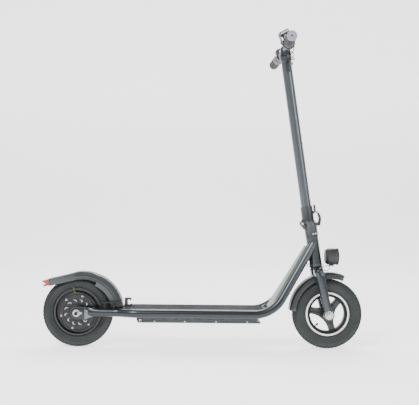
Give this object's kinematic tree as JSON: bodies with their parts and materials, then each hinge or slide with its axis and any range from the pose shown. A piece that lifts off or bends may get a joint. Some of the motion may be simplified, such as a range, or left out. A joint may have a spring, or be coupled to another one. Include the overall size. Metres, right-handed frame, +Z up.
{
  "type": "electric kick scooter",
  "caption": "Folding electric kick scooter with a twin-tube frame, rear hub motor, cast front wheel, fenders, headlight and swept handlebar.",
  "frame": {"origin": "on the ground, under the middle of the scooter's length and width", "axes": "+X forward, +Y to the rider's left, +Z up"},
  "size_m": [1.1632, 0.6012, 1.1372],
  "materials": {
    "painted_frame": "satin powder coat",
    "sage_panel": "satin",
    "black_plastic": "fine moulded texture",
    "tyre": "matt rubber",
    "rubber": "matt",
    "deck_rubber": "ribbed matt",
    "black_metal": "satin",
    "bright_metal": "machined",
    "alloy": "anodised",
    "red_lens": "translucent red",
    "clear_lens": "clear",
    "copper": "windings and laminations",
    "red_button": "gloss",
    "wire_black": "pvc sleeve"
  },
  "bodies": {
    "chassis": {"frame_tube_right": "painted_frame", "frame_tube_left": "painted_frame", "head_tube": "painted_frame", "headset_bearings": "bright_metal", "deck_plate": "alloy", "deck_mat": "deck_rubber", "battery_housing": "black_metal", "battery_pack": "black_plastic", "motor_controller": "alloy", "housing_screws": "bright_metal", "charge_socket": "bright_metal", "leg_cover": "sage_panel", "stem_hook": "black_metal", "motor_stator": "copper", "rear_axle": "bright_metal", "rear_axle_nuts": "bright_metal", "brake_caliper": "black_metal", "rear_fender": "black_plastic", "tail_light": "red_lens", "fender_bracket": "black_metal", "frame_wire": "wire_black", "kickstand_bracket": "black_metal"},
    "rear_wheel": {"rear_tyre": "tyre", "motor_shell": "black_metal", "motor_cover": "black_metal", "motor_bearings": "bright_metal", "motor_magnets": "bright_metal", "brake_disc": "bright_metal"},
    "steering": {"fork": "painted_frame", "steerer": "bright_metal", "front_axle": "bright_metal", "front_axle_nuts": "bright_metal", "front_fender": "black_plastic", "fold_base": "painted_frame", "hinge_pins": "bright_metal", "headlight_housing": "black_plastic", "headlight_lens": "clear_lens", "headlight_bracket": "bright_metal", "headlight_wire": "wire_black"},
    "front_wheel": {"front_tyre": "tyre", "front_rim": "black_metal", "front_bearings": "bright_metal"},
    "stem": {"stem_collar": "painted_frame", "stem_tube": "painted_frame", "handlebar": "painted_frame", "bar_clamp": "painted_frame", "grips": "rubber", "grip_collars": "alloy", "display_housing": "black_plastic", "switch_box": "black_plastic", "lever_perch": "black_metal", "cable_grommet": "rubber", "control_cables": "wire_black"},
    "lock_lever": {"lock_lever": "alloy"},
    "safety_catch": {"safety_catch": "black_plastic"},
    "throttle": {"throttle_paddle": "black_plastic"},
    "horn_button": {"horn_button": "red_button"},
    "brake_lever": {"brake_lever": "black_metal"},
    "caliper_arm": {"caliper_arm": "bright_metal"},
    "kickstand": {"kickstand_leg": "alloy"}
  },
  "joints": [
    {"name": "steer", "type": "hinge", "parent": "chassis", "child": "steering", "pos_m": [0.40628, 0, 0.35932], "axis": [-0.1504, 0, 0.9886], "range_deg": [-40, 40]},
    {"name": "front_roll", "type": "hinge", "parent": "steering", "child": "front_wheel", "pos_m": [0.4565, 0, 0.127], "axis": [0, 1, 0], "continuous": true},
    {"name": "rear_roll", "type": "hinge", "parent": "chassis", "child": "rear_wheel", "pos_m": [-0.4515, 0, 0.127], "axis": [0, 1, 0], "continuous": true},
    {"name": "stem_fold", "type": "hinge", "parent": "steering", "child": "stem", "pos_m": [0.3608, 0, 0.45547], "axis": [0, -1, 0], "range_deg": [0, 104]},
    {"name": "lock_swing", "type": "hinge", "parent": "steering", "child": "lock_lever", "pos_m": [0.42353, 0, 0.45601], "axis": [0, 1, 0], "range_deg": [0, 95]},
    {"name": "catch_tilt", "type": "hinge", "parent": "stem", "child": "safety_catch", "pos_m": [0.40861, 0, 0.49825], "axis": [0, 1, 0], "range_deg": [0, 25]},
    {"name": "throttle_press", "type": "hinge", "parent": "stem", "child": "throttle", "pos_m": [0.262, -0.161, 1.086], "axis": [0, 1, 0], "range_deg": [0, 28], "stiffness_Nm_per_rad": 0.3, "springref_deg": -8.59},
    {"name": "horn_press", "type": "slide", "parent": "stem", "child": "horn_button", "axis": [0.7071, 0, -0.7071], "range_m": [0, 0.0018], "stiffness_N_per_m": 400, "springref_m": -0.001},
    {"name": "brake_pull", "type": "hinge", "parent": "stem", "child": "brake_lever", "pos_m": [0.316, 0.156, 1.08], "axis": [0, 0, 1], "range_deg": [0, 14], "stiffness_Nm_per_rad": 1.5, "springref_deg": -5.73},
    {"name": "caliper_pull", "type": "hinge", "parent": "chassis", "child": "caliper_arm", "pos_m": [-0.4225, 0.05, 0.17723], "axis": [0, 1, 0], "range_deg": [-22, 0], "stiffness_Nm_per_rad": 0.5},
    {"name": "stand_swing", "type": "hinge", "parent": "chassis", "child": "kickstand", "pos_m": [-0.07, 0.084, 0.102], "axis": [0, -1, 0], "range_deg": [0, 80]}
  ],
  "couplings": [
    {"joint": "caliper_pull", "follows": "brake_pull", "ratio": -1.5}
  ]
}
